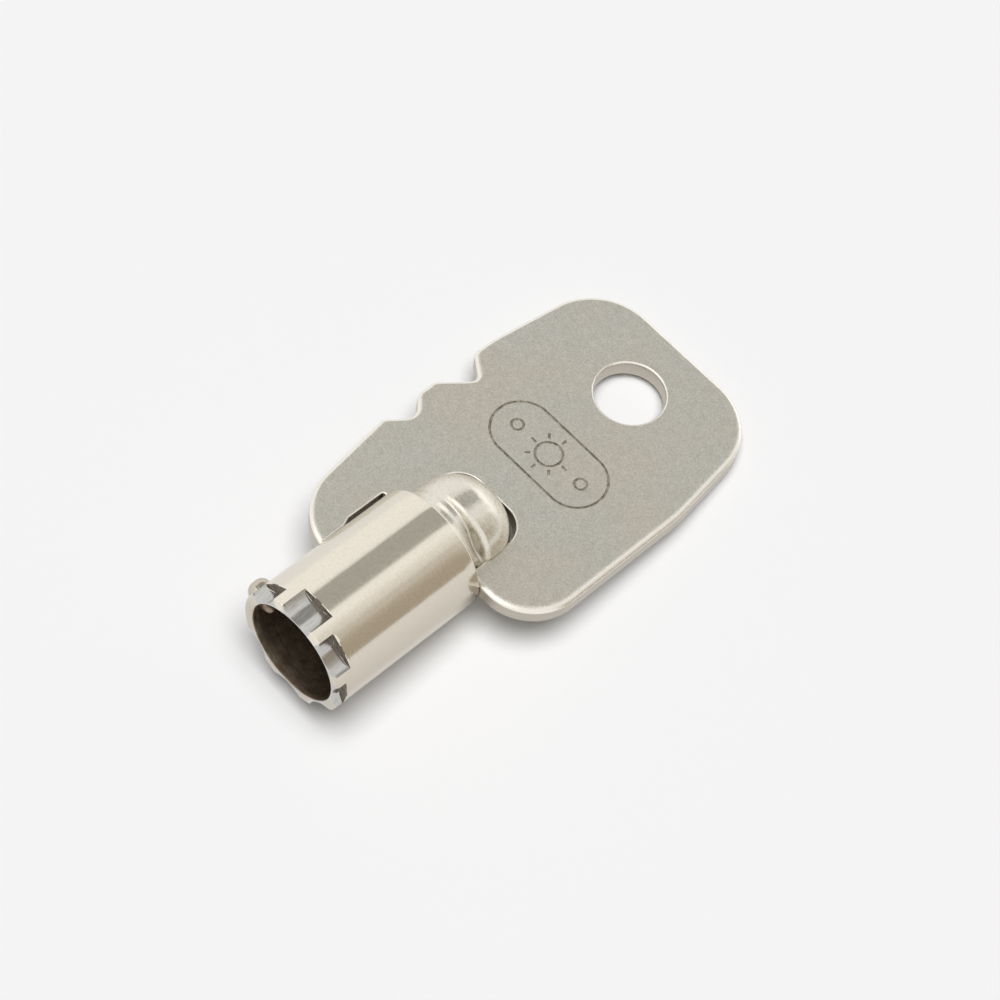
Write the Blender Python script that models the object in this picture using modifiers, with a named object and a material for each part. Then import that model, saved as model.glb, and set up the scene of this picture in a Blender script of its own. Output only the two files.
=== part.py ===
"""Key for a tubular (axial pin tumbler) lock: a turned barrel whose ball tail is staked in a stamped bow.

Frame: +Y runs along the barrel from its cut tip to the bow's far end, +X across the bow, +Z normal to
the bow's faces. The barrel's axis lies in the bow's mid-plane. The origin is the whole key's centre.

Names below give sizes in millimetres. Stations along the key are measured from the barrel's tip.
"""

import math

import bmesh
import bpy
from mathutils import Vector

MM = 0.001

# Whole key
KEY_LENGTH = 37.7
BOW_WIDTH = 19.1
TIP_Y = -KEY_LENGTH / 2
FIT_GAP = 0.05  # clearance wherever the barrel and the bow meet

# Barrel tube
BARREL_RADIUS = 4.75
BORE_RADIUS = 3.9
BORE_DEPTH = 9.0
DRILL_POINT_ANGLE = math.radians(118)
SHOULDER = 12.95  # station of the step from the tube to the neck
EDGE_CHAMFER = 0.15
BORE_CHAMFER = 0.05

# Barrel tail: a neck, a groove and the blunt ball that the bow holds
NECK_RADIUS = 3.3
NECK_END = 14.15
GROOVE_RADIUS = 3.15
GROOVE = 14.3
BALL_RADIUS = 3.75
BALL_HALF_LENGTH = 3.25
BALL_BLUNTNESS = 2.25  # 2 makes an ellipse, and more makes it squarer
BALL_CENTRE = 15.4
BALL_START = 14.55
BALL_STEPS = 14

# Bitting: round-bottomed cuts in the outside of the tip, by angle from the bow's top face towards +X
CUT_DEPTHS = {-45: 1.2, 0: 2.0, 45: 1.3, 90: 0.7, 135: 1.6, 180: 0.9, 225: 1.8}
CUT_FLOOR_RADIUS = 4.05
MILL_RADIUS = 2.2
MILL_STEPS = 48

# Locating nibs, on the land without a cut, facing -X
OUTER_NIB_REACH = 5.65
OUTER_NIB_STATIONS = (0.75, 2.4)
OUTER_NIB_WIDTH = 1.5
INNER_NIB_REACH = 3.1
INNER_NIB_STATIONS = (0.85, 1.75)
INNER_NIB_WIDTH = 1.0
NIB_ROUNDING = 0.28

# Bow
PLATE_THICKNESS = 1.5
RIM_ROUNDING = 0.45
RING_HOLE_RADIUS = 2.6
RING_HOLE_STATION = 32.2
SIDE = BOW_WIDTH / 2
SHORT_ARM_FRONT = 13.0
LONG_ARM_TIP = 6.85
ARM_INSIDE = BARREL_RADIUS + FIT_GAP
RELIEF_INSIDE = 5.1
SLOT_HALF_WIDTH = 3.4
SLOT_END = 18.8
SLOT_END_RADIUS = 2.0
SEAT_END_RADIUS = SLOT_END_RADIUS - FIT_GAP
SEAT_THICKNESS = PLATE_THICKNESS + 2 * FIT_GAP

# Facets
TURNING_STEPS = 72
ARC_STEP = math.radians(10)
RIM_STEPS = 2
SMALLEST_TURN = 1e-6  # radians
FLAT_ANGLE = 0.01  # radians: triangles of a flat cap that differ by less become one face
WELD = 1e-7  # metres: points of a cap and its sides that are one
SLOT_BOX = ((-5.45, 7.2), (3.75, 18.95))  # the middles of the slot's edges are in here, by x and station
CUTTER_OVERRUN = 2.0


def clear_scene():
    for obj in list(bpy.data.objects):
        bpy.data.objects.remove(obj, do_unlink=True)


def new_collection(name):
    collection = bpy.data.collections.new(name)
    bpy.context.scene.collection.children.link(collection)
    return collection


def nickel(name, colour, roughness):
    material = bpy.data.materials.new(name)
    material.use_nodes = True
    shader = material.node_tree.nodes["Principled BSDF"]
    shader.inputs["Base Color"].default_value = (*colour, 1.0)
    shader.inputs["Metallic"].default_value = 1.0
    shader.inputs["Roughness"].default_value = roughness
    return material


def rounded_outline(corners):
    """Points of a closed outline through corners (x, y, radius), each rounded by an arc of its radius."""
    points = []
    for index, (x, y, radius) in enumerate(corners):
        here = Vector((x, y))
        before = Vector(corners[index - 1][:2])
        after = Vector(corners[(index + 1) % len(corners)][:2])
        arrive = (here - before).normalized()
        leave = (after - here).normalized()
        turn = arrive.angle_signed(leave)
        if radius == 0 or abs(turn) < SMALLEST_TURN:
            points.append(here)
            continue
        start = here - arrive * radius * math.tan(abs(turn) / 2)
        side = math.copysign(1, turn)
        centre = start + side * radius * Vector((arrive.y, -arrive.x))
        steps = max(1, math.ceil(abs(turn) / ARC_STEP))
        spoke = start - centre
        for step in range(steps + 1):
            angle = -turn * step / steps
            turned = Vector((
                spoke.x * math.cos(angle) - spoke.y * math.sin(angle),
                spoke.x * math.sin(angle) + spoke.y * math.cos(angle),
            ))
            points.append(centre + turned)
    return points


def flat_solid(name, points, thickness, collection):
    """A solid of this outline in the XY plane, centred on z = 0, with each cap a single face."""
    curve = bpy.data.curves.new(name, "CURVE")
    curve.dimensions = "2D"
    curve.fill_mode = "BOTH"
    curve.extrude = thickness * MM / 2
    spline = curve.splines.new("POLY")
    spline.points.add(len(points) - 1)
    for place, point in zip(spline.points, points):
        place.co = (point[0] * MM, point[1] * MM, 0, 1)
    spline.use_cyclic_u = True
    drawn = bpy.data.objects.new(name + "_outline", curve)
    collection.objects.link(drawn)
    evaluated = drawn.evaluated_get(bpy.context.evaluated_depsgraph_get())
    mesh = bpy.data.meshes.new_from_object(evaluated)
    mesh.name = name
    solid = bpy.data.objects.new(name, mesh)
    solid.matrix_world = drawn.matrix_world
    collection.objects.link(solid)
    bpy.data.objects.remove(drawn, do_unlink=True)
    bpy.data.curves.remove(curve)
    shape = bmesh.new()
    shape.from_mesh(mesh)
    bmesh.ops.remove_doubles(shape, verts=shape.verts, dist=WELD)
    bmesh.ops.dissolve_limit(shape, angle_limit=FLAT_ANGLE, verts=shape.verts, edges=shape.edges)
    bmesh.ops.recalc_face_normals(shape, faces=shape.faces)
    shape.to_mesh(mesh)
    shape.free()
    return solid


def make_cutter(obj):
    obj.hide_render = True
    obj.display_type = "WIRE"
    return obj


def collected(name, collection):
    """The primitive that was just added, named and moved to this collection."""
    obj = bpy.context.object
    obj.name = name
    for other in obj.users_collection:
        other.objects.unlink(obj)
    collection.objects.link(obj)
    return obj


def boolean(obj, operation, other):
    modifier = obj.modifiers.new(other.name, "BOOLEAN")
    modifier.operation = operation
    modifier.object = other
    modifier.solver = "EXACT"


def shade_round(obj):
    obj.data.shade_smooth()
    obj.data.set_sharp_from_angle(angle=math.radians(30))


# --- Bow ---------------------------------------------------------------------------------------------


def bow_outline():
    """The bow's corners, anticlockwise from the short arm: outer rim, long arm, then the barrel's slot."""
    side, end = SIDE, KEY_LENGTH
    rim = [
        (SLOT_HALF_WIDTH, SHORT_ARM_FRONT, 0),
        (side, SHORT_ARM_FRONT, 4.2),
        (side, 27.7, 12.0),
        (8.2, end, 5.0),
        (-8.2, end, 5.0),
        (-side, 27.7, 12.0),
    ]
    deep_notch = [(-side, 25.9, 0.8), (-7.6, 24.5, 0.6), (-side, 22.0, 0.9)]
    shallow_notch = [(-side, 20.4, 0.8), (-8.1, 19.0, 1.0), (-side, 17.0, 0.8)]
    long_arm = [(-8.3, 7.65, 4.75), (-ARM_INSIDE, LONG_ARM_TIP, 0)]
    relief = [
        (-ARM_INSIDE, 9.1, 0),
        (-RELIEF_INSIDE, 9.7, 0.2),
        (-RELIEF_INSIDE, SHORT_ARM_FRONT, 0.2),
        (-SLOT_HALF_WIDTH, SHORT_ARM_FRONT, 0.15),
    ]
    slot_end = [
        (-SLOT_HALF_WIDTH, SLOT_END, SLOT_END_RADIUS),
        (SLOT_HALF_WIDTH, SLOT_END, SLOT_END_RADIUS),
    ]
    return rim + deep_notch + shallow_notch + long_arm + relief + slot_end


def round_rim(plate):
    """Rounds the plate's outer rim on both faces, and leaves the slot's edges sharp."""
    (left, front), (right, back) = SLOT_BOX
    mesh = plate.data
    weights = mesh.attributes.new("bevel_weight_edge", "FLOAT", "EDGE")
    for edge in mesh.edges:
        first, second = (mesh.vertices[index].co / MM for index in edge.vertices)
        middle = (first + second) / 2
        upright = abs(first.z - second.z) > PLATE_THICKNESS / 2
        in_slot = left < middle.x < right and front < middle.y - TIP_Y < back
        weights.data[edge.index].value = 0.0 if upright or in_slot else 1.0
    bevel = plate.modifiers.new("rim", "BEVEL")
    bevel.limit_method = "WEIGHT"
    bevel.width = RIM_ROUNDING * MM
    bevel.segments = RIM_STEPS
    bevel.use_clamp_overlap = False


def make_bow(parts, cutters):
    points = [(point.x, point.y + TIP_Y) for point in rounded_outline(bow_outline())]
    bow = flat_solid("bow", points, PLATE_THICKNESS, parts)
    round_rim(bow)
    bpy.ops.mesh.primitive_cylinder_add(
        vertices=TURNING_STEPS,
        radius=RING_HOLE_RADIUS * MM,
        depth=(PLATE_THICKNESS + 2 * CUTTER_OVERRUN) * MM,
        location=(0, (TIP_Y + RING_HOLE_STATION) * MM, 0),
    )
    boolean(bow, "DIFFERENCE", make_cutter(collected("ring_hole", cutters)))
    bow.data.materials.append(nickel("satin_nickel", (0.62, 0.58, 0.50), 0.38))
    shade_round(bow)
    return bow


# --- Barrel ------------------------------------------------------------------------------------------


def barrel_profile():
    """(radius, station) from the ball's end on the axis, down the outside, and back up the bore."""
    power = 2 / BALL_BLUNTNESS
    ball = []
    for step in range(BALL_STEPS + 1):
        angle = math.pi / 2 * step / BALL_STEPS
        radius = BALL_RADIUS * math.sin(angle) ** power
        ball.append((radius, BALL_CENTRE + BALL_HALF_LENGTH * math.cos(angle) ** power))
    tail = [
        (BALL_RADIUS, BALL_START),
        (GROOVE_RADIUS, GROOVE),
        (NECK_RADIUS, NECK_END),
        (NECK_RADIUS, SHOULDER),
    ]
    tube = [
        (BARREL_RADIUS - EDGE_CHAMFER, SHOULDER),
        (BARREL_RADIUS, SHOULDER - EDGE_CHAMFER),
        (BARREL_RADIUS, EDGE_CHAMFER),
        (BARREL_RADIUS - EDGE_CHAMFER, 0),
    ]
    drill_point = BORE_RADIUS / math.tan(DRILL_POINT_ANGLE / 2)
    bore = [
        (BORE_RADIUS + BORE_CHAMFER, 0),
        (BORE_RADIUS, BORE_CHAMFER),
        (BORE_RADIUS, BORE_DEPTH),
        (0, BORE_DEPTH + drill_point),
    ]
    return ball + tail + tube + bore


def turned(name, profile, collection):
    mesh = bpy.data.meshes.new(name)
    points = [(radius * MM, 0, station * MM) for radius, station in profile]
    mesh.from_pydata(points, [(i, i + 1) for i in range(len(points) - 1)], [])
    obj = bpy.data.objects.new(name, mesh)
    collection.objects.link(obj)
    screw = obj.modifiers.new("turning", "SCREW")
    screw.steps = TURNING_STEPS
    screw.render_steps = TURNING_STEPS
    screw.use_merge_vertices = True
    screw.merge_threshold = 1e-6
    screw.use_smooth_shade = True
    return obj


def on_axis(obj, axis):
    """Puts an object made along local +Z onto the barrel's axis, with its z = 0 at the tip."""
    obj.parent = axis
    return obj


def nib(name, reach, stations, width, axis, cutters):
    """A rounded block from inside the tube's wall out to the reach, towards -X."""
    wall = (BARREL_RADIUS + BORE_RADIUS) / 2
    size = Vector((abs(reach - wall), width, stations[1] - stations[0]))
    middle = Vector((-(reach + wall) / 2, 0, sum(stations) / 2))
    shape = bmesh.new()
    bmesh.ops.create_cube(shape, size=1.0)
    bmesh.ops.scale(shape, vec=size * MM, verts=shape.verts)
    bmesh.ops.translate(shape, vec=middle * MM, verts=shape.verts)
    bmesh.ops.bevel(
        shape, geom=shape.edges[:], offset=NIB_ROUNDING * MM, segments=3, profile=0.5, affect="EDGES"
    )
    mesh = bpy.data.meshes.new(name)
    shape.to_mesh(mesh)
    shape.free()
    obj = bpy.data.objects.new(name, mesh)
    cutters.objects.link(obj)
    return make_cutter(on_axis(obj, axis))


def bitting_cutter(name, angle, depth, axis, cutters):
    """An end mill parallel to the barrel's axis, fed in from the tip to the depth."""
    # The barrel's own frame measures angles from +X towards local +Y, which is the key's -Z.
    turn = math.radians(angle - 90)
    reach = CUT_FLOOR_RADIUS + MILL_RADIUS
    bpy.ops.mesh.primitive_cylinder_add(
        vertices=MILL_STEPS,
        radius=MILL_RADIUS * MM,
        depth=(depth + CUTTER_OVERRUN) * MM,
        location=Vector((reach * math.cos(turn), reach * math.sin(turn), (depth - CUTTER_OVERRUN) / 2)) * MM,
        rotation=(0, 0, turn),
    )
    return make_cutter(on_axis(collected(name, cutters), axis))


def plate_seat(cutters):
    """The plate round its slot, with the fit's gap all round, which leaves the ball room for the bow."""
    inside, end = SLOT_HALF_WIDTH - FIT_GAP, SLOT_END - FIT_GAP
    outside, far = BARREL_RADIUS + CUTTER_OVERRUN, SLOT_END + CUTTER_OVERRUN
    corners = [
        (inside, SHORT_ARM_FRONT, 0),
        (outside, SHORT_ARM_FRONT, 0),
        (outside, far, 0),
        (-outside, far, 0),
        (-outside, SHORT_ARM_FRONT, 0),
        (-inside, SHORT_ARM_FRONT, 0),
        (-inside, end, SEAT_END_RADIUS),
        (inside, end, SEAT_END_RADIUS),
    ]
    points = [(point.x, point.y + TIP_Y) for point in rounded_outline(corners)]
    return make_cutter(flat_solid("plate_seat", points, SEAT_THICKNESS, cutters))


def make_barrel(parts, cutters):
    axis = bpy.data.objects.new("barrel_axis", None)
    axis.location = (0, TIP_Y * MM, 0)
    axis.rotation_euler = (math.radians(-90), 0, 0)
    parts.objects.link(axis)
    barrel = on_axis(turned("barrel", barrel_profile(), parts), axis)
    outer = nib("outer_nib", OUTER_NIB_REACH, OUTER_NIB_STATIONS, OUTER_NIB_WIDTH, axis, cutters)
    inner = nib("inner_nib", INNER_NIB_REACH, INNER_NIB_STATIONS, INNER_NIB_WIDTH, axis, cutters)
    boolean(barrel, "UNION", outer)
    boolean(barrel, "UNION", inner)
    for angle, depth in CUT_DEPTHS.items():
        cutter = bitting_cutter(f"cut_{angle % 360}", angle, depth, axis, cutters)
        boolean(barrel, "DIFFERENCE", cutter)
    boolean(barrel, "DIFFERENCE", plate_seat(cutters))
    barrel.data.materials.append(nickel("bright_nickel", (0.70, 0.65, 0.56), 0.22))
    return barrel


clear_scene()
key = new_collection("tubular_key")
helpers = new_collection("cutters")
make_bow(key, helpers)
make_barrel(key, helpers)
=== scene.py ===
"""Looks of a tubular lock key: a finely shaped bow and barrel that stand for the two CAD solids.

Names below give sizes in millimetres. Stations along the key are measured from the barrel's tip. Angles
around the barrel are measured from the bow's top face (+Z) towards +X.
"""

import math

import bmesh
import bpy
from mathutils import Matrix, Quaternion, Vector


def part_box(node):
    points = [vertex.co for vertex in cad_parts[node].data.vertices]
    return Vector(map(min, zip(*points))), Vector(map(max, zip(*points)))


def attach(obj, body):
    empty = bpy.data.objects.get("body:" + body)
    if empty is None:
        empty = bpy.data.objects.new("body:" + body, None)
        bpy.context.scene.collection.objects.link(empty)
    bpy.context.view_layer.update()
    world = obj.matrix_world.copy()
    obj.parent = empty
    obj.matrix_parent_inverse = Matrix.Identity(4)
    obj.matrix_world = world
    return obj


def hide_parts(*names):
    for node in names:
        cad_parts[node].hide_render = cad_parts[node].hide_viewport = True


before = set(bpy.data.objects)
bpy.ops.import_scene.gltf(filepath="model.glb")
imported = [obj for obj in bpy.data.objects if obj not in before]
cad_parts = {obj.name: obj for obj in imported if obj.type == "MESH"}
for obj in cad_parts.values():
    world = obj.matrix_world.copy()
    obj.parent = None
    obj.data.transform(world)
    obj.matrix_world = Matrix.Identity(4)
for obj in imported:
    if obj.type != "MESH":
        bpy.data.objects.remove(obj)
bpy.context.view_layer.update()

MM = 0.001
BARREL_BOX = [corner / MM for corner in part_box("barrel")]
BOW_BOX = [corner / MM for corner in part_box("bow")]

# From the frame
TIP_Y = BARREL_BOX[0].y
BARREL_RADIUS = BARREL_BOX[1].z
BALL_END = BARREL_BOX[1].y - TIP_Y
KEY_LENGTH = BOW_BOX[1].y - TIP_Y
SIDE = BOW_BOX[1].x
HALF_PLATE = BOW_BOX[1].z

# Barrel: the tube
BORE_RADIUS = 3.9
BORE_DEPTH = 9.0
BORE_CHAMFER = 0.05
DRILL_POINT_ANGLE = math.radians(118)
SHOULDER = 12.95  # the tube's rear face
TUBE_ROUNDING = 0.15  # at the rear corner and at the tip
REAR_CORNER = SHOULDER - TUBE_ROUNDING

# Barrel: the tail, which is a flared neck, an uneven groove and a blunt ball
GROOVE_STATION = 14.3
GROOVE_RADIUS = 3.15
GROOVE_FILLET = 0.3
NECK_FLARE = 0.55
BALL_RADIUS = 3.75
BALL_CENTRE = 15.4
BALL_BLUNTNESS = 2.25
BALL_START = 14.6  # the front of its rounded edge
BALL_LIP = 0.55  # the rounding of the ball's edge over the groove
LIP_TURN = math.radians(60)
LEFT_FILL = 0.4  # how much shallower the groove is to the left of the top
LEFT_FILL_ANGLE = math.radians(-50)
STAKE_FILL = 0.5  # and at both sides, where the staking pressed metal against the plate
STAKE_SPREAD = math.radians(24)
UNDERCUT = 0.35  # how much deeper the groove is to the right of the top
UNDERCUT_ANGLE = math.radians(58)
UNDERCUT_SPREAD = math.radians(22)
UNDERCUT_LENGTH = 0.28

# Barrel: the tip's cuts, whose depths along the tube are keyed by their angles, and the nibs
CUT_DEPTHS = {-45: 1.2, 0: 2.0, 45: 1.3, 90: 0.7, 135: 1.6, 180: 0.9, 225: 1.8}
CUT_FLOOR_RADIUS = 4.05
MILL_RADIUS = 2.2
MILL_REACH = CUT_FLOOR_RADIUS + MILL_RADIUS
CUT_HALF_ANGLE = math.acos(
    (BARREL_RADIUS**2 + MILL_REACH**2 - MILL_RADIUS**2) / (2 * BARREL_RADIUS * MILL_REACH)
)
NIB_ANGLE = math.radians(-90)
OUTER_NIB = {
    "height": -BARREL_BOX[0].x - BARREL_RADIUS,
    "middle": 1.575,
    "half_length": 0.88,
    "half_width": 0.8,
}
INNER_NIB = {"height": 0.8, "middle": 1.3, "half_length": 0.5, "half_width": 0.5}
NIB_BLUNTNESS = 2.6

# Bow
ARM_FRONT = 13.0  # the short arm's front edge, which is also the slot's mouth
SLOT_HALF_WIDTH = 3.4
SLOT_END = 18.8
SLOT_END_RADIUS = 2.0
RELIEF_INSIDE = 5.1
TUBE_GAP = 0.05  # between the tube and the long arm's tip
SLOT_BOX = ((-5.45, 7.2), (3.75, 18.95))  # edges with their middles in here are the slot's or relief's
SLOT_EDGE = 0.15  # the width of the slot's rolled edge
RIM_WIDTH = 0.4  # the stamping's rolled edge elsewhere
RIM_EXTRA = 0.17  # more at the right and the front, and less at the left and the back
RIM_SLOPE = 0.55  # its drop for its width
RIM_WIDTH_POWER = 1.54  # how the width and the drop grow along its quarter turn
RIM_DROP_POWER = 0.91
HOLE_RADIUS = 2.6
HOLE_STATION = 32.2
HOLE_ROUNDING = 0.2

# Emblem: a long oval round a dial with ticks, and a dot on each side
EMBLEM_STATION = 24.1
OVAL_HALF_LENGTH = 5.0
OVAL_HALF_HEIGHT = 2.35
DIAL_RADIUS = 1.0
TICK_ENDS = (1.3, 1.75)
TICK_DEGREES = range(90, 405, 45)
DOT_RADIUS = 0.45
DOT_PLACE = 3.2
LINE_RADIUS = 0.1
LINE_RISE = 0.01  # of a line's middle above the plate's face

# Fineness
BASE_ANGLE = math.radians(4)
ARC_STEP = math.radians(4)
EDGE_OFFSETS = (-0.05, -0.012, 0.012, 0.05)  # rings round the top and the foot of a cut's wall
EDGE_DROP = 0.06  # the share of a wall's height in each of its two roundings
CUT_SHARES = (0, 0.2, 0.4, 0.6, 0.8, 0.92, 1)
NIB_SHARES = (0, 0.35, 0.6, 0.8, 0.92, 0.98, 1)
TUBE_STATIONS = (12.0, 9.0, 6.0, 4.0, 3.0, 2.6)
BORE_STATIONS = (1.8, 4.0)
FACE_RADII = (4.5, 4.3)
NECK_STEPS = 12
BALL_STEPS = 26
RIM_STEPS = 9
CORNER_STEPS = 4
CHAMFER_STEPS = 3
HOLE_STEPS = 96
DIAL_STEPS = 36
DOT_STEPS = 18
ANGLE_DIGITS = 6  # to which the meridians' angles are rounded
ANGLE_MARGIN = 1e-5  # a little more than that rounding moves them
WELD = 1e-7  # in metres
SMALL_TURN = 0.2  # the sine below which two edges count as nearly straight
SHARP_ANGLE = math.radians(40)
BARREL_FINISHES = ("tube", "floor", "bore", "tail", "wall")  # in the order of its materials
CUT_MARGIN = 0.02  # a face this little below the tube's radius still has the tube's finish
WALL_RISE = 0.004  # and one in a cut that climbs more than this is a wall
FACE_REACH = 0.1  # except in the first ring behind the tip's face

# Camera, with its place in metres
CAMERA_AZIMUTH = math.radians(35.32)
CAMERA_ELEVATION = math.radians(57.62)
CAMERA_ROLL = math.radians(12.98)
CAMERA_DISTANCE = 0.22683
CAMERA_TARGET = Vector((0.00026, 0.00036, 0))
CAMERA_LENS = 117.47

# Light
AMBIENT = 0.18  # the tent's share in lighting the floor
BACKDROP = (0.905, 0.905, 0.905, 1)
KEY_STRENGTH = 2.65
KEY_DIRECTION = (0.12, -0.16, 1.0)
KEY_ANGLE = math.radians(36)
FLOOR_SIZE = 4  # in metres


# --- Shapes ------------------------------------------------------------------------------------------


def rounded_outline(corners):
    """Points of a closed outline through corners (x, y, radius), each rounded by an arc of its radius."""
    points = []
    for index, (x, y, radius) in enumerate(corners):
        here = Vector((x, y))
        arrive = (here - Vector(corners[index - 1][:2])).normalized()
        leave = (Vector(corners[(index + 1) % len(corners)][:2]) - here).normalized()
        turn = arrive.angle_signed(leave)
        if radius == 0:
            points.append(here)
            continue
        start = here - arrive * radius * math.tan(abs(turn) / 2)
        side = math.copysign(1, turn)
        centre = start + side * radius * Vector((arrive.y, -arrive.x))
        steps = max(2, math.ceil(abs(turn) / ARC_STEP))
        for step in range(steps + 1):
            points.append(centre + Matrix.Rotation(-turn * step / steps, 2) @ (start - centre))
    return points


def bow_outline():
    """The bow's corners (x, station, radius) from the slot's mouth at the right, counterclockwise."""
    inside = BARREL_RADIUS + TUBE_GAP
    rim = [
        (SLOT_HALF_WIDTH, ARM_FRONT, 0),
        (SIDE, ARM_FRONT, 4.2),
        (SIDE, 27.7, 12.0),
        (8.2, KEY_LENGTH, 5.0),
        (-8.2, KEY_LENGTH, 5.0),
        (-SIDE, 27.7, 12.0),
    ]
    deep_notch = [(-SIDE, 25.9, 0.8), (-7.6, 24.5, 0.6), (-SIDE, 22.0, 0.9)]
    shallow_notch = [(-SIDE, 20.4, 0.8), (-8.1, 19.0, 1.0), (-SIDE, 17.0, 0.8)]
    long_arm = [(-8.3, 7.65, 4.75), (-inside, 6.85, 0)]
    opening = [
        (-inside, 9.1, 0),
        (-RELIEF_INSIDE, 9.7, 0.2),
        (-RELIEF_INSIDE, ARM_FRONT, 0.2),
        (-SLOT_HALF_WIDTH, ARM_FRONT, 0.3),
        (-SLOT_HALF_WIDTH, SLOT_END, SLOT_END_RADIUS),
        (SLOT_HALF_WIDTH, SLOT_END, SLOT_END_RADIUS),
    ]
    return rim + deep_notch + shallow_notch + long_arm + opening


def inset(outline, widths):
    """The closed outline moved inwards, each of its edges by that edge's width, with mitred corners."""
    moved = []
    for index, point in enumerate(outline):
        following = outline[(index + 1) % len(outline)]
        arrive = (point - outline[index - 1]).normalized()
        leave = (following - point).normalized()
        before, after = widths[index - 1], widths[index]
        first, second = Vector((-arrive.y, arrive.x)), Vector((-leave.y, leave.x))
        turn = first.cross(second)
        if abs(turn) < SMALL_TURN:
            moved.append(point + (first * before + second * after) / (1 + first.dot(second)))
            continue
        across = before * second.y - after * first.y
        along = after * first.x - before * second.x
        moved.append(point + Vector((across, along)) / turn)
    return moved


def new_object(name, mesh):
    obj = bpy.data.objects.new(name, mesh)
    bpy.context.scene.collection.objects.link(obj)
    return obj


def mesh_of(name, shape):
    mesh = bpy.data.meshes.new(name)
    shape.to_mesh(mesh)
    shape.free()
    return mesh


def plate():
    """The bow's blank: flat faces with a rolled edge all round, which is small along the slot."""
    outline = rounded_outline(bow_outline())
    (left, front), (right, back) = SLOT_BOX
    widths = []
    for index, point in enumerate(outline):
        following = outline[(index + 1) % len(outline)]
        middle = (point + following) / 2
        in_slot = left < middle.x < right and front < middle.y < back
        along = (following - point).normalized()
        facing = (along.y + along.x) * math.sqrt(0.5)
        widths.append(SLOT_EDGE if in_slot else RIM_WIDTH + RIM_EXTRA * facing)
    drops = [max(widths[index - 1], widths[index]) * RIM_SLOPE for index in range(len(outline))]
    upper = []
    for step in range(RIM_STEPS + 1):
        angle = math.pi / 2 * step / RIM_STEPS
        share = 1 - math.sin(angle) ** RIM_WIDTH_POWER
        drop = 1 - max(0, math.cos(angle)) ** RIM_DROP_POWER
        ring = inset(outline, [width * share for width in widths])
        upper.append([(p.x, p.y + TIP_Y, HALF_PLATE - d * drop) for p, d in zip(ring, drops)])
    lower = [[(x, y, -z) for x, y, z in ring] for ring in upper[::-1]]
    shape = bmesh.new()
    rings = [[shape.verts.new(Vector(place) * MM) for place in ring] for ring in upper + lower]
    shape.faces.new(rings[0])
    shape.faces.new(rings[-1][::-1])
    for high, low in zip(rings, rings[1:]):
        for index in range(len(outline)):
            following = (index + 1) % len(outline)
            shape.faces.new((high[index], low[index], low[following], high[following]))
    bmesh.ops.recalc_face_normals(shape, faces=shape.faces)
    return new_object("bow_plate", mesh_of("bow_plate", shape))


def lathe(name, profile, steps):
    """A closed turned solid about Z from a profile (radius, height) that starts and ends on the axis."""
    shape = bmesh.new()
    rings = []
    for radius, height in profile:
        turns = [2 * math.pi * step / steps for step in range(steps)] if radius else [0]
        rings.append([
            shape.verts.new(Vector((radius * math.cos(a), radius * math.sin(a), height)) * MM) for a in turns
        ])
    for lower, upper in zip(rings, rings[1:]):
        for index in range(steps):
            following = (index + 1) % steps
            corners = [
                lower[index % len(lower)],
                lower[following % len(lower)],
                upper[following % len(upper)],
                upper[index % len(upper)],
            ]
            shape.faces.new(list(dict.fromkeys(corners)))
    bmesh.ops.recalc_face_normals(shape, faces=shape.faces)
    return new_object(name, mesh_of(name, shape))


def hole_cutter():
    """The ring hole with its rounded rims, as a spool."""
    half = [(HOLE_RADIUS, 0)]
    for step in range(CORNER_STEPS + 1):
        angle = math.pi / 2 * step / CORNER_STEPS
        rise = HALF_PLATE - HOLE_ROUNDING + HOLE_ROUNDING * math.sin(angle)
        half.append((HOLE_RADIUS + HOLE_ROUNDING * (1 - math.cos(angle)), rise))
    end = HALF_PLATE + 1
    half += [(HOLE_RADIUS + HOLE_ROUNDING, end), (0, end)]
    profile = [(radius, -height) for radius, height in half[:0:-1]] + half
    spool = lathe("ring_hole", profile, HOLE_STEPS)
    spool.location = Vector((0, TIP_Y + HOLE_STATION, 0)) * MM
    return spool


def emblem_lines():
    """Closed and open lines of a plain emblem: the oval, the dial and the two dots, and the seven ticks."""

    def circle(x, radius, steps):
        turns = [2 * math.pi * step / steps for step in range(steps)]
        return [(x + radius * math.cos(a), radius * math.sin(a)) for a in turns]

    rounding = OVAL_HALF_HEIGHT - 0.01
    corners = [
        (OVAL_HALF_LENGTH * right, OVAL_HALF_HEIGHT * up, rounding)
        for right, up in ((1, -1), (1, 1), (-1, 1), (-1, -1))
    ]
    closed = [
        [tuple(point) for point in rounded_outline(corners)],
        circle(0, DIAL_RADIUS, DIAL_STEPS),
        circle(DOT_PLACE, DOT_RADIUS, DOT_STEPS),
        circle(-DOT_PLACE, DOT_RADIUS, DOT_STEPS),
    ]
    ticks = []
    for degrees in TICK_DEGREES:
        angle = math.radians(degrees)
        ticks.append([(r * math.cos(angle), r * math.sin(angle)) for r in TICK_ENDS])
    return closed, ticks


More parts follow.
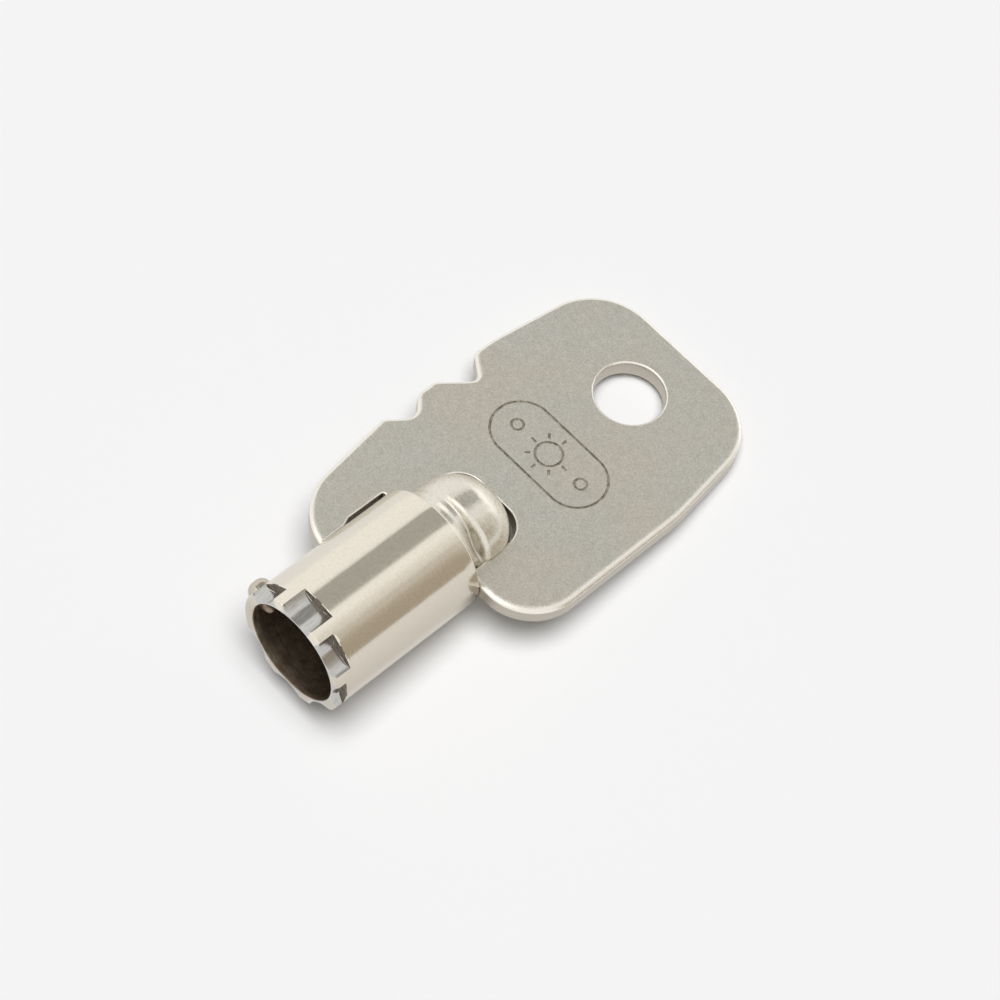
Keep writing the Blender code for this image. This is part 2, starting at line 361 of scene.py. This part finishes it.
def emblem_cutter():
    """Round wires along the emblem's lines, sunk a little into the bow's top face."""
    closed, ticks = emblem_lines()
    curve = bpy.data.curves.new("emblem", "CURVE")
    curve.dimensions = "3D"
    curve.bevel_depth = LINE_RADIUS * MM
    curve.bevel_resolution = 1
    curve.use_fill_caps = True
    for points, cyclic in [(line, True) for line in closed] + [(line, False) for line in ticks]:
        spline = curve.splines.new("POLY")
        spline.points.add(len(points) - 1)
        for place, (x, y) in zip(spline.points, points):
            place.co = (x * MM, (y + TIP_Y + EMBLEM_STATION) * MM, (HALF_PLATE + LINE_RISE) * MM, 1)
        spline.use_cyclic_u = cyclic
    drawn = new_object("emblem_lines", curve)
    bpy.context.view_layer.update()
    mesh = bpy.data.meshes.new_from_object(drawn.evaluated_get(bpy.context.evaluated_depsgraph_get()))
    shape = bmesh.new()
    shape.from_mesh(mesh)
    bmesh.ops.remove_doubles(shape, verts=shape.verts, dist=WELD)
    bmesh.ops.recalc_face_normals(shape, faces=shape.faces)
    for face in shape.faces:
        face.material_index = 1
    bpy.data.objects.remove(drawn)
    return new_object("emblem", mesh_of("emblem", shape))


def subtract(obj, cutter):
    modifier = obj.modifiers.new(cutter.name, "BOOLEAN")
    modifier.operation = "DIFFERENCE"
    modifier.object = cutter
    modifier.solver = "EXACT"


def bake_modifiers(obj, helpers):
    """Puts the evaluated shape in the mesh itself, and removes the cutters."""
    bpy.context.view_layer.update()
    mesh = bpy.data.meshes.new_from_object(obj.evaluated_get(bpy.context.evaluated_depsgraph_get()))
    obj.modifiers.clear()
    obj.data = mesh
    for helper in helpers:
        bpy.data.objects.remove(helper)


def shade(obj):
    obj.data.shade_smooth()
    obj.data.set_sharp_from_angle(angle=SHARP_ANGLE)
    weighted = obj.modifiers.new("weighted_normals", "WEIGHTED_NORMAL")
    weighted.keep_sharp = True
    weighted.weight = 100


def make_bow():
    bow = plate()
    for make in (bow_nickel, emblem_nickel):
        bow.data.materials.append(make())
    cutters = [hole_cutter(), emblem_cutter()]
    for cutter in cutters:
        subtract(bow, cutter)
    bake_modifiers(bow, cutters)
    shade(bow)
    return bow


def edge_share(distance):
    """How far a cut's wall has dropped, 0 to 1, at this distance inside its edge."""
    near, outer = EDGE_OFFSETS[2:]
    if distance <= -outer:
        return 0
    if distance < -near:
        return EDGE_DROP * (distance + outer) / (outer - near)
    if distance < near:
        return EDGE_DROP + (1 - 2 * EDGE_DROP) * (distance + near) / (2 * near)
    if distance < outer:
        return 1 - EDGE_DROP + EDGE_DROP * (distance - near) / (outer - near)
    return 1


def cut_radius(angle, station):
    """The outside's radius at this place on the tube, which is less than the tube's own in a tip cut."""
    lowest = BARREL_RADIUS
    for middle, depth in CUT_DEPTHS.items():
        apart = abs((angle - math.radians(middle) + math.pi) % (2 * math.pi) - math.pi)
        if apart < CUT_HALF_ANGLE - ANGLE_MARGIN:
            aside = MILL_REACH * math.sin(apart)
            floor = MILL_REACH * math.cos(apart) - math.sqrt(MILL_RADIUS**2 - aside**2)
            lowest = min(lowest, BARREL_RADIUS - (BARREL_RADIUS - floor) * edge_share(depth - station))
    return lowest


def nib_share(nib, angle, station):
    """A nib's height, 0 to 1, at this place."""
    apart = (angle - NIB_ANGLE + math.pi) % (2 * math.pi) - math.pi
    across = abs(apart) * BARREL_RADIUS / nib["half_width"]
    along = abs(station - nib["middle"]) / nib["half_length"]
    return max(0, 1 - across**NIB_BLUNTNESS - along**NIB_BLUNTNESS) ** (1 / NIB_BLUNTNESS)


def barrel_angles():
    """Angles of the barrel's meridians, closer together at the cuts' sides and across the nibs."""
    count = round(2 * math.pi / BASE_ANGLE)
    angles = {round(BASE_ANGLE * step, ANGLE_DIGITS) for step in range(count)}
    fine = []
    for middle in CUT_DEPTHS:
        for side in (-1, 1):
            for share in CUT_SHARES:
                fine.append(math.radians(middle) + side * CUT_HALF_ANGLE * share)
    for nib in (OUTER_NIB, INNER_NIB):
        for share in NIB_SHARES:
            for side in (-1, 1):
                fine.append(NIB_ANGLE + side * share * nib["half_width"] / BARREL_RADIUS)
    fine = sorted({round(angle % (2 * math.pi), ANGLE_DIGITS) for angle in fine})
    near = BASE_ANGLE / 4
    coarse = [a for a in angles if all(abs(a - f) > near for f in fine)]
    return sorted(coarse + fine)


def nib_stations(nib):
    reaches = {side * share * nib["half_length"] for share in NIB_SHARES for side in (-1, 1)}
    return sorted(nib["middle"] + reach for reach in reaches)


def arc(centre, radius, start, end, steps):
    """Points (radius, station) along an arc, angles from the outward direction towards the bow."""
    radial, station = centre
    turns = [start + (end - start) * step / steps for step in range(steps + 1)]
    return [(radial + radius * math.cos(a), station + radius * math.sin(a)) for a in turns]


def barrel_profile():
    """(radius, station, zone) from the ball's end on the axis, over the outside and tip, and up the bore."""
    quarter = math.pi / 2
    power = 2 / BALL_BLUNTNESS
    half_length = BALL_END - BALL_CENTRE
    ball = []
    for step in range(BALL_STEPS + 1):
        angle = quarter * step / BALL_STEPS
        radius = BALL_RADIUS * math.sin(angle) ** power
        ball.append((radius, BALL_CENTRE + half_length * max(0, math.cos(angle)) ** power))
    lip = (BALL_RADIUS - BALL_LIP, BALL_START + BALL_LIP)
    ball += arc(lip, BALL_LIP, 0, -LIP_TURN, CORNER_STEPS)
    fillet = (GROOVE_RADIUS + GROOVE_FILLET, GROOVE_STATION)
    ball += arc(fillet, GROOVE_FILLET, math.pi - LIP_TURN, math.pi, CORNER_STEPS)[:-1]
    neck = []
    for step in range(NECK_STEPS + 1):
        share = step / NECK_STEPS
        station = GROOVE_STATION + (SHOULDER - GROOVE_STATION) * share
        neck.append((GROOVE_RADIUS + NECK_FLARE * share**2, station))
    inner = BARREL_RADIUS - TUBE_ROUNDING
    shoulder = arc((inner, REAR_CORNER), TUBE_ROUNDING, quarter, 0, CORNER_STEPS)
    stations = set(TUBE_STATIONS)
    for depth in CUT_DEPTHS.values():
        stations |= {round(depth + offset, 4) for offset in EDGE_OFFSETS}
    stations |= {round(station, 4) for station in nib_stations(OUTER_NIB)}
    tube = [(BARREL_RADIUS, s) for s in sorted(stations, reverse=True) if s > TUBE_ROUNDING]
    tip = arc((inner, TUBE_ROUNDING), TUBE_ROUNDING, 0, -quarter, CORNER_STEPS)
    face = [(radius, 0) for radius in (*FACE_RADII, CUT_FLOOR_RADIUS)]
    mouth_centre = (BORE_RADIUS + BORE_CHAMFER, BORE_CHAMFER)
    mouth = arc(mouth_centre, BORE_CHAMFER, -quarter, -2 * quarter, CHAMFER_STEPS)
    bore = [(BORE_RADIUS, s) for s in (*nib_stations(INNER_NIB), *BORE_STATIONS, BORE_DEPTH)]
    bore.append((0, BORE_DEPTH + BORE_RADIUS / math.tan(DRILL_POINT_ANGLE / 2)))
    tail = [(*point, "tail") for point in ball + neck]
    outside = [(*point, "outside") for point in shoulder + tube + tip + face]
    return tail + outside + [(*point, "bore") for point in mouth + bore]


def barrel_point(radius, station, zone, angle):
    """Where a point of the profile lies at this angle, given the uneven groove, the nibs and the cuts."""
    near_tip = station < SHOULDER / 2
    if zone == "tail" and station < BALL_CENTRE:
        across = (angle - UNDERCUT_ANGLE) / UNDERCUT_SPREAD
        along = (station - GROOVE_STATION) / UNDERCUT_LENGTH
        radius -= UNDERCUT * math.exp(-(across**2) - along**2)
        sideways = math.exp(-((math.cos(angle) / math.sin(STAKE_SPREAD)) ** 2))
        fill = LEFT_FILL * max(0, math.cos(angle - LEFT_FILL_ANGLE)) + STAKE_FILL * sideways
        radius += fill * math.exp(-(along**2) / 2)
    if zone == "outside" and near_tip:
        if radius == BARREL_RADIUS:
            radius += OUTER_NIB["height"] * nib_share(OUTER_NIB, angle, station)
        limit = cut_radius(angle, station)
        if limit < BARREL_RADIUS:
            radius = min(radius, limit)
    if zone == "bore" and near_tip and radius == BORE_RADIUS:
        radius -= INNER_NIB["height"] * nib_share(INNER_NIB, angle, station)
    return Vector((radius * math.sin(angle), TIP_Y + station, radius * math.cos(angle))) * MM


def barrel_finish(zone, station, angle, radii):
    """Which of BARREL_FINISHES a face has. The radii are those at its two ends along the profile."""
    if zone != "outside":
        return BARREL_FINISHES.index(zone)
    if station > SHOULDER / 2 or cut_radius(angle, station) > BARREL_RADIUS - CUT_MARGIN:
        return BARREL_FINISHES.index("tube")
    is_wall = abs(radii[0] - radii[1]) > WALL_RISE and station > FACE_REACH
    return BARREL_FINISHES.index("wall" if is_wall else "floor")


def make_barrel():
    shape = bmesh.new()
    angles = barrel_angles()
    profile = barrel_profile()
    rings = []
    for radius, station, zone in profile:
        places = angles if radius else angles[:1]
        rings.append([shape.verts.new(barrel_point(radius, station, zone, angle)) for angle in places])
    for row in range(len(rings) - 1):
        first, second = rings[row], rings[row + 1]
        station = (profile[row][1] + profile[row + 1][1]) / 2
        zone = profile[row][2]
        for index in range(len(angles)):
            following = (index + 1) % len(angles)
            corners = [
                first[index % len(first)],
                first[following % len(first)],
                second[following % len(second)],
                second[index % len(second)],
            ]
            face = shape.faces.new(list(dict.fromkeys(corners)))
            middle = angles[index] + (angles[following] - angles[index]) % (2 * math.pi) / 2
            reach = [math.hypot(corner.co.x, corner.co.z) / MM for corner in (corners[0], corners[3])]
            face.material_index = barrel_finish(zone, station, middle, reach)
    bmesh.ops.remove_doubles(shape, verts=shape.verts, dist=WELD)
    bmesh.ops.recalc_face_normals(shape, faces=shape.faces)
    barrel = new_object("barrel_turning", mesh_of("barrel_turning", shape))
    for make in (barrel_nickel, milled_steel, bore_steel, tail_nickel, wall_steel):
        barrel.data.materials.append(make())
    shade(barrel)
    return barrel


# --- Materials ---------------------------------------------------------------------------------------
#
# Noise scales are cycles in a millimetre, in each direction where a pattern is stretched. Ramps give the
# range of a pattern, from low to high, that a change of colour or roughness is spread over.


class Nodes:
    """A small helper round one material's or world's node tree."""

    def __init__(self, tree):
        self.tree = tree

    def add(self, kind, inputs=(), **settings):
        node = self.tree.nodes.new(kind)
        for name, value in settings.items():
            setattr(node, name, value)
        for name, value in dict(inputs).items():
            if isinstance(value, bpy.types.NodeSocket):
                self.tree.links.new(value, node.inputs[name])
            else:
                node.inputs[name].default_value = value
        return node

    def math(self, operation, *values):
        node = self.add("ShaderNodeMath", dict(enumerate(values)), operation=operation)
        return node.outputs[0]

    def noise(self, place, scale, detail, roughness):
        inputs = {"Vector": place, "Scale": scale, "Detail": detail, "Roughness": roughness}
        return self.add("ShaderNodeTexNoise", inputs).outputs[0]

    def stretched(self, place, scale):
        return self.add("ShaderNodeMapping", {"Vector": place, "Scale": scale}).outputs[0]

    def ramp(self, value, low, high, to_low=0.0, to_high=1.0):
        inputs = {"Value": value, "From Min": low, "From Max": high, "To Min": to_low, "To Max": to_high}
        return self.add("ShaderNodeMapRange", inputs).outputs[0]

    def blend(self, share, first, second):
        node = self.add("ShaderNodeMix", data_type="RGBA")
        for index, value in ((0, share), (6, first), (7, second)):
            if isinstance(value, bpy.types.NodeSocket):
                self.tree.links.new(value, node.inputs[index])
            else:
                node.inputs[index].default_value = value
        return node.outputs[2]

    def bump(self, height, distance, normal=None):
        inputs = {"Height": height, "Distance": distance, "Strength": 1.0}
        if normal is not None:
            inputs["Normal"] = normal
        return self.add("ShaderNodeBump", inputs).outputs[0]


def metal(name):
    """A new metal: (material, its nodes, its shader, object coordinates in millimetres)."""
    material = bpy.data.materials.new(name)
    material.use_nodes = True
    nodes = Nodes(material.node_tree)
    shader = material.node_tree.nodes["Principled BSDF"]
    shader.inputs["Metallic"].default_value = 1.0
    place = nodes.add("ShaderNodeTexCoord").outputs["Object"]
    millimetres = nodes.stretched(place, (1 / MM, 1 / MM, 1 / MM))
    return material, nodes, shader, millimetres


def feed(nodes, shader, **sockets):
    """Links node outputs to the shader's inputs, named with _ for each space."""
    for name, socket in sockets.items():
        nodes.tree.links.new(socket, shader.inputs[name.replace("_", " ")])


def bow_nickel():
    """Satin nickel with a fine speckle and a grain; wear smooths the rolled edge, where a painted highlight
    brightens it, and painted shade darkens the sides.
    """
    material, nodes, shader, place = metal("bow_nickel")
    normals = nodes.add("ShaderNodeTexCoord").outputs["Normal"]
    upright = nodes.math("ABSOLUTE", nodes.add("ShaderNodeSeparateXYZ", {"Vector": normals}).outputs["Z"])
    # Painted shade: the steep sides, such as the rim's lower part and the ring hole's wall, get a darker
    # tint.
    shaded_sides = nodes.ramp(upright, 0.45, 0.15)
    # Real wear smooths the rolled edge; the brighter tint there is a painted highlight.
    wear_and_sheen = nodes.math("MULTIPLY", nodes.ramp(upright, 0.995, 0.96), nodes.ramp(upright, 0.4, 0.6))
    cloud = nodes.noise(place, 0.12, 2, 0.5)
    blotch = nodes.noise(place, 2.2, 3, 0.6)
    speckle = nodes.noise(place, 6.5, 3, 0.75)
    grain = nodes.noise(nodes.stretched(place, (9, 2.2, 9)), 1.0, 3, 0.6)
    pits = nodes.noise(place, 9, 2, 0.6)
    tint = nodes.blend(nodes.ramp(cloud, 0.4, 0.6), (0.69, 0.70, 0.64, 1), (0.74, 0.69, 0.59, 1))
    tint = nodes.blend(nodes.ramp(speckle, 0.38, 0.62), tint, (0.88, 0.85, 0.78, 1))
    tint = nodes.blend(nodes.ramp(blotch, 0.4, 0.7, 0, 0.3), tint, (0.60, 0.57, 0.50, 1))
    tint = nodes.blend(nodes.ramp(pits, 0.58, 0.72, 0, 0.35), tint, (0.42, 0.39, 0.33, 1))
    # Painted highlight on the rolled edge.
    tint = nodes.blend(wear_and_sheen, tint, (0.86, 0.83, 0.76, 1))
    # Painted shade on the steep sides.
    tint = nodes.blend(shaded_sides, tint, (0.50, 0.46, 0.40, 1))
    rough = nodes.math("ADD", nodes.ramp(speckle, 0.3, 0.7, 0.3, 0.38), nodes.ramp(grain, 0.3, 0.7, 0, 0.09))
    rough = nodes.math("SUBTRACT", rough, nodes.math("MULTIPLY", wear_and_sheen, 0.14))
    normal = nodes.bump(nodes.math("ADD", grain, nodes.math("MULTIPLY", speckle, 0.8)), 0.008 * MM)
    feed(nodes, shader, Base_Color=tint, Roughness=rough, Normal=normal)
    return material


def emblem_nickel():
    """The stamped emblem's lines: the same plating, darkened with painted shade in the grooves."""
    material, nodes, shader, place = metal("emblem_nickel")
    shade_mottle = nodes.noise(place, 3.5, 3, 0.6)
    # Painted shade in the stamped grooves, mottled by the noise.
    tint = nodes.blend(nodes.ramp(shade_mottle, 0.35, 0.65), (0.36, 0.33, 0.27, 1), (0.66, 0.62, 0.54, 1))
    rough = nodes.ramp(shade_mottle, 0.3, 0.7, 0.25, 0.4)
    feed(nodes, shader, Base_Color=tint, Roughness=rough, Normal=nodes.bump(shade_mottle, 0.01 * MM))
    return material


def barrel_nickel():
    """Bright nickel on a turned tube: fine rings, a slightly wavy plating, and painted shade darkening it
    towards its sides and underside.
    """
    material, nodes, shader, place = metal("barrel_nickel")
    rings = nodes.noise(nodes.stretched(place, (0.25, 11, 0.25)), 1.0, 3, 0.6)
    wave = nodes.noise(place, 0.35, 2, 0.5)
    speckle = nodes.noise(place, 5, 3, 0.7)
    height = nodes.add("ShaderNodeSeparateXYZ", {"Vector": place}).outputs["Z"]
    tint = nodes.blend(nodes.ramp(speckle, 0.35, 0.65), (0.79, 0.735, 0.635, 1), (0.85, 0.80, 0.70, 1))
    # Painted shade: the tint darkens from 4 mm above the axis down to the tube's underside.
    tint = nodes.blend(nodes.ramp(height, 4.0, 0.5), tint, (0.56, 0.51, 0.43, 1))
    rough = nodes.math("ADD", nodes.ramp(rings, 0.3, 0.7, 0.09, 0.15), nodes.ramp(speckle, 0.3, 0.7, 0, 0.04))
    normal = nodes.bump(rings, 0.0012 * MM, nodes.bump(wave, 0.008 * MM))
    feed(nodes, shader, Base_Color=tint, Roughness=rough, Normal=normal)
    return material


def tail_nickel():
    """The neck and the staked ball: satin, a little dented, and with painted shade in the undercut and along
    the plate.
    """
    material, nodes, shader, place = metal("tail_nickel")
    dents = nodes.noise(place, 0.55, 2, 0.5)
    speckle = nodes.noise(place, 5, 3, 0.7)
    parts = nodes.add("ShaderNodeSeparateXYZ", {"Vector": place}).outputs
    groove_middle = TIP_Y + GROOVE_STATION + 0.12
    behind = nodes.math("ABSOLUTE", nodes.math("SUBTRACT", parts["Y"], groove_middle))
    in_groove = nodes.ramp(behind, 0.3, 0.1)
    right_side = nodes.ramp(parts["X"], 0.6, 1.6)
    above = nodes.math("ABSOLUTE", nodes.math("SUBTRACT", parts["Z"], HALF_PLATE + 0.06))
    at_plate = nodes.math("MULTIPLY", nodes.ramp(above, 0.2, 0.08), nodes.ramp(parts["X"], 1.5, 2.6))
    # Painted shade in the groove's undercut at the right and along the plate's edge.
    painted_shade = nodes.math("MULTIPLY", nodes.math("MULTIPLY", in_groove, right_side), 0.4)
    painted_shade = nodes.math("MAXIMUM", painted_shade, nodes.math("MULTIPLY", at_plate, 0.5))
    tint = nodes.blend(nodes.ramp(speckle, 0.35, 0.65), (0.72, 0.69, 0.61, 1), (0.82, 0.79, 0.71, 1))
    tint = nodes.blend(painted_shade, tint, (0.22, 0.17, 0.12, 1))
    rough = nodes.ramp(speckle, 0.3, 0.7, 0.24, 0.34)
    normal = nodes.bump(speckle, 0.004 * MM, nodes.bump(dents, 0.12 * MM))
    feed(nodes, shader, Base_Color=tint, Roughness=rough, Normal=normal)
    return material


def milled_steel():
    """Bare steel in the tip cuts, with the cutter's faint marks along them."""
    material, nodes, shader, place = metal("milled_steel")
    marks = nodes.noise(nodes.stretched(place, (7, 1.2, 7)), 1.0, 2, 0.5)
    tint = nodes.blend(nodes.ramp(marks, 0.35, 0.65), (0.50, 0.49, 0.47, 1), (0.60, 0.59, 0.57, 1))
    rough = nodes.ramp(marks, 0.3, 0.7, 0.12, 0.2)
    feed(nodes, shader, Base_Color=tint, Roughness=rough, Normal=nodes.bump(marks, 0.0006 * MM))
    return material


def wall_steel():
    """The cuts' square ends, dark with painted shade."""
    material, nodes, shader, place = metal("wall_steel")
    shade_mottle = nodes.noise(place, 4, 3, 0.6)
    # Painted shade: the ends' dark tint, mottled by the noise.
    tint = nodes.blend(nodes.ramp(shade_mottle, 0.35, 0.65), (0.12, 0.10, 0.08, 1), (0.28, 0.24, 0.20, 1))
    rough = nodes.ramp(shade_mottle, 0.3, 0.7, 0.38, 0.55)
    feed(nodes, shader, Base_Color=tint, Roughness=rough, Normal=nodes.bump(shade_mottle, 0.006 * MM))
    return material


def bore_steel():
    """The bore: dark with painted shade, and ringed by the drill."""
    material, nodes, shader, place = metal("bore_steel")
    rings = nodes.noise(nodes.stretched(place, (0.3, 5, 0.3)), 1.0, 3, 0.6)
    shade_mottle = nodes.noise(place, 1.3, 5, 0.6)
    # Painted shade: the bore's dark tint, mottled, and darker still on the drill's rings.
    tint = nodes.blend(nodes.ramp(shade_mottle, 0.35, 0.65), (0.22, 0.17, 0.12, 1), (0.42, 0.35, 0.27, 1))
    tint = nodes.blend(nodes.ramp(rings, 0.5, 0.65, 0, 0.6), tint, (0.14, 0.1, 0.07, 1))
    rough = nodes.ramp(rings, 0.3, 0.7, 0.3, 0.5)
    feed(nodes, shader, Base_Color=tint, Roughness=rough, Normal=nodes.bump(rings, 0.012 * MM))
    return material


# --- Stage -------------------------------------------------------------------------------------------


def floor_tilt():
    """The floor's slope when the key lies on it with the tube's rear corner and the bow's far rim."""
    return math.atan2(BARREL_RADIUS - HALF_PLATE, KEY_LENGTH - REAR_CORNER)


def make_floor():
    bpy.ops.mesh.primitive_plane_add(size=FLOOR_SIZE)
    floor = bpy.context.object
    floor.name = "floor"
    floor.location = Vector((0, TIP_Y + REAR_CORNER, -BARREL_RADIUS)) * MM
    floor.rotation_euler.x = floor_tilt()
    material = bpy.data.materials.new("pale_floor")
    material.use_nodes = True
    shader = material.node_tree.nodes["Principled BSDF"]
    shader.inputs["Base Color"].default_value = (0.9, 0.9, 0.905, 1)
    shader.inputs["Roughness"].default_value = 0.9
    shader.inputs["Specular IOR Level"].default_value = 0.1
    floor.data.materials.append(material)


def make_world():
    """A tent for the metal to reflect: white, brighter in front and behind, with a grey panel overhead
    and a brown one at the right. The camera sees a plain pale backdrop, and the floor gets little of it.
    """
    world = bpy.data.worlds.new("tent")
    bpy.context.scene.world = world
    world.use_nodes = True
    nodes = Nodes(world.node_tree)
    background = world.node_tree.nodes["Background"]
    direction = nodes.add("ShaderNodeTexCoord").outputs["Generated"]
    parts = nodes.add("ShaderNodeSeparateXYZ", {"Vector": direction}).outputs
    height = nodes.math("MAXIMUM", parts["Z"], 0.02)
    across = nodes.math("DIVIDE", parts["X"], height)
    along = nodes.math("DIVIDE", parts["Y"], height)
    soft = 0.05  # half the width of the flat panels' blurred borders

    def within(value, low, high):
        rises = nodes.ramp(value, low - soft, low + soft)
        return nodes.math("MULTIPLY", rises, nodes.ramp(value, high + soft, high - soft))

    overhead = nodes.math("MULTIPLY", within(across, -0.78, 0.07), within(along, -0.1, 1.6))
    front = nodes.math("MULTIPLY", within(across, -0.9, 0.1), within(along, -1.1, -0.2))
    right = nodes.math("MULTIPLY", nodes.ramp(parts["X"], 0.28, 0.8), nodes.ramp(parts["Y"], 0.1, 0.2))
    behind = nodes.ramp(parts["Y"], 0.8, 0.92)
    colour = (1.0, 0.99, 0.975, 1)
    for panel, tint in (
        (overhead, (0.435, 0.43, 0.405, 1)),
        (front, (1.6, 1.57, 1.52, 1)),
        (behind, (1.5, 1.48, 1.44, 1)),
        (right, (0.46, 0.405, 0.325, 1)),
    ):
        colour = nodes.blend(panel, colour, tint)
    path = nodes.add("ShaderNodeLightPath").outputs
    colour = nodes.blend(path["Is Camera Ray"], colour, BACKDROP)
    strength = nodes.ramp(path["Is Diffuse Ray"], 0, 1, 1, AMBIENT)
    feed(nodes, background, Color=colour, Strength=strength)
    world.cycles.sampling_method = "NONE"


def make_light():
    """A wide soft lamp almost straight above the floor, which lights it and casts the shadow."""
    lamp = bpy.data.lights.new("key_light", "SUN")
    lamp.angle = KEY_ANGLE
    lamp.energy = KEY_STRENGTH
    obj = new_object("key_light", lamp)
    obj.rotation_euler = Vector(KEY_DIRECTION).to_track_quat("Z", "Y").to_euler()
    obj.visible_glossy = False


def make_camera():
    data = bpy.data.cameras.new("camera")
    data.lens = CAMERA_LENS
    data.sensor_width = 36
    data.clip_start = 0.01
    data.clip_end = 10
    camera = new_object("camera", data)
    level = math.cos(CAMERA_ELEVATION)
    back = Vector((
        math.sin(CAMERA_AZIMUTH) * level,
        -math.cos(CAMERA_AZIMUTH) * level,
        math.sin(CAMERA_ELEVATION),
    ))
    camera.location = CAMERA_TARGET + back * CAMERA_DISTANCE
    camera.rotation_mode = "QUATERNION"
    camera.rotation_quaternion = (-back).to_track_quat("-Z", "Y") @ Quaternion((0, 0, 1), CAMERA_ROLL)
    bpy.context.scene.camera = camera


make_camera()
make_world()
make_floor()
make_light()
bpy.context.scene.view_settings.view_transform = "Standard"

bow = make_bow()
barrel = make_barrel()
for piece, node, slot in ((bow, "bow", "bow_nickel"), (barrel, "barrel", "barrel_nickel")):
    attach(piece, "root")
    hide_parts(node)
